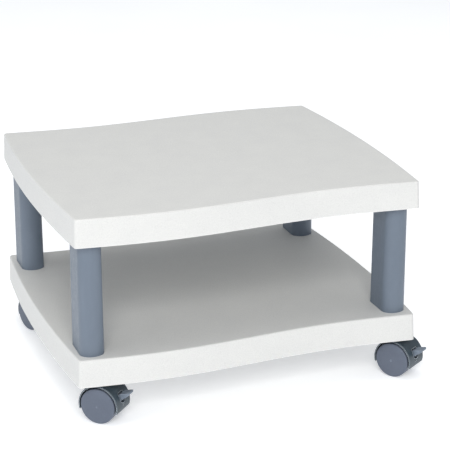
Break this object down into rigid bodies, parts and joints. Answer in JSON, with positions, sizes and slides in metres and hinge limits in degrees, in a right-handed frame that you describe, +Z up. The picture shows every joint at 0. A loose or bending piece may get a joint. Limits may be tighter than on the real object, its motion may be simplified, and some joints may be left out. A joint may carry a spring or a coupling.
{
  "type": "mobile printer stand",
  "caption": "Low two-shelf stand on swivel casters: moulded plastic shelves with waved edges on hollow oblong columns, with foot brakes on the front casters.",
  "frame": {"origin": "the middle of the whole stand's box, on the floor under the wheels", "axes": "+Z up, +X to the right and +Y to the back, seen from the side with the brake levers"},
  "size_m": [0.5184, 0.4482, 0.292],
  "materials": {
    "shelf_plastic": "fine pebble texture, matte",
    "column_plastic": "satin, smooth",
    "hood_plastic": "satin, smooth",
    "wheel_plastic": "satin, smooth",
    "lever_plastic": "satin, smooth",
    "socket_plastic": "smooth",
    "plated_steel": "bright zinc plate",
    "spring_steel": "plain spring steel"
  },
  "bodies": {
    "stand": {"top_shelf": "shelf_plastic", "lower_shelf": "shelf_plastic", "column_front_left": "column_plastic", "column_front_right": "column_plastic", "column_rear_left": "column_plastic", "column_rear_right": "column_plastic", "socket_front_left": "socket_plastic", "stem_front_left": "plated_steel", "socket_front_right": "socket_plastic", "stem_front_right": "plated_steel", "socket_rear_left": "socket_plastic", "stem_rear_left": "plated_steel", "socket_rear_right": "socket_plastic", "stem_rear_right": "plated_steel", "grip_rings": "spring_steel"},
    "caster_front_left": {"hood_front_left": "hood_plastic", "axle_front_left": "plated_steel", "brake_pin_front_left": "plated_steel"},
    "outer_wheel_front_left": {"wheel_outer_front_left": "wheel_plastic"},
    "inner_wheel_front_left": {"wheel_inner_front_left": "wheel_plastic"},
    "brake_front_left": {"brake_lever_front_left": "lever_plastic"},
    "caster_front_right": {"hood_front_right": "hood_plastic", "axle_front_right": "plated_steel", "brake_pin_front_right": "plated_steel"},
    "outer_wheel_front_right": {"wheel_outer_front_right": "wheel_plastic"},
    "inner_wheel_front_right": {"wheel_inner_front_right": "wheel_plastic"},
    "brake_front_right": {"brake_lever_front_right": "lever_plastic"},
    "caster_rear_left": {"hood_rear_left": "hood_plastic", "axle_rear_left": "plated_steel"},
    "outer_wheel_rear_left": {"wheel_outer_rear_left": "wheel_plastic"},
    "inner_wheel_rear_left": {"wheel_inner_rear_left": "wheel_plastic"},
    "caster_rear_right": {"hood_rear_right": "hood_plastic", "axle_rear_right": "plated_steel"},
    "outer_wheel_rear_right": {"wheel_outer_rear_right": "wheel_plastic"},
    "inner_wheel_rear_right": {"wheel_inner_rear_right": "wheel_plastic"}
  },
  "joints": [
    {"name": "swivel_front_left", "type": "hinge", "parent": "stand", "child": "caster_front_left", "pos_m": [-0.22451, -0.17705, 0.05], "axis": [0, 0, 1], "continuous": true},
    {"name": "outer_wheel_spin_front_left", "type": "hinge", "parent": "caster_front_left", "child": "outer_wheel_front_left", "pos_m": [-0.20965, -0.19043, 0.025], "axis": [0.6691, 0.7431, 0], "continuous": true},
    {"name": "inner_wheel_spin_front_left", "type": "hinge", "parent": "caster_front_left", "child": "inner_wheel_front_left", "pos_m": [-0.20965, -0.19043, 0.025], "axis": [0.6691, 0.7431, 0], "continuous": true},
    {"name": "brake_press_front_left", "type": "hinge", "parent": "caster_front_left", "child": "brake_front_left", "pos_m": [-0.19508, -0.20355, 0.0338], "axis": [0.6691, 0.7431, 0], "range_deg": [0, 12]},
    {"name": "swivel_front_right", "type": "hinge", "parent": "stand", "child": "caster_front_right", "pos_m": [0.21479, -0.17105, 0.05], "axis": [0, 0, 1], "continuous": true},
    {"name": "outer_wheel_spin_front_right", "type": "hinge", "parent": "caster_front_right", "child": "outer_wheel_front_right", "pos_m": [0.22655, -0.18723, 0.025], "axis": [0.809, 0.5878, 0], "continuous": true},
    {"name": "inner_wheel_spin_front_right", "type": "hinge", "parent": "caster_front_right", "child": "inner_wheel_front_right", "pos_m": [0.22655, -0.18723, 0.025], "axis": [0.809, 0.5878, 0], "continuous": true},
    {"name": "brake_press_front_right", "type": "hinge", "parent": "caster_front_right", "child": "brake_front_right", "pos_m": [0.23807, -0.20309, 0.0338], "axis": [0.809, 0.5878, 0], "range_deg": [0, 12]},
    {"name": "swivel_rear_left", "type": "hinge", "parent": "stand", "child": "caster_rear_left", "pos_m": [-0.22571, 0.16745, 0.05], "axis": [0, 0, 1], "continuous": true},
    {"name": "outer_wheel_spin_rear_left", "type": "hinge", "parent": "caster_rear_left", "child": "outer_wheel_rear_left", "pos_m": [-0.2179, 0.14904, 0.025], "axis": [0.9205, 0.3907, 0], "continuous": true},
    {"name": "inner_wheel_spin_rear_left", "type": "hinge", "parent": "caster_rear_left", "child": "inner_wheel_rear_left", "pos_m": [-0.2179, 0.14904, 0.025], "axis": [0.9205, 0.3907, 0], "continuous": true},
    {"name": "swivel_rear_right", "type": "hinge", "parent": "stand", "child": "caster_rear_right", "pos_m": [0.21479, 0.17345, 0.05], "axis": [0, 0, 1], "continuous": true},
    {"name": "outer_wheel_spin_rear_right", "type": "hinge", "parent": "caster_rear_right", "child": "outer_wheel_rear_right", "pos_m": [0.22479, 0.15613, 0.025], "axis": [0.866, 0.5, 0], "continuous": true},
    {"name": "inner_wheel_spin_rear_right", "type": "hinge", "parent": "caster_rear_right", "child": "inner_wheel_rear_right", "pos_m": [0.22479, 0.15613, 0.025], "axis": [0.866, 0.5, 0], "continuous": true}
  ]
}
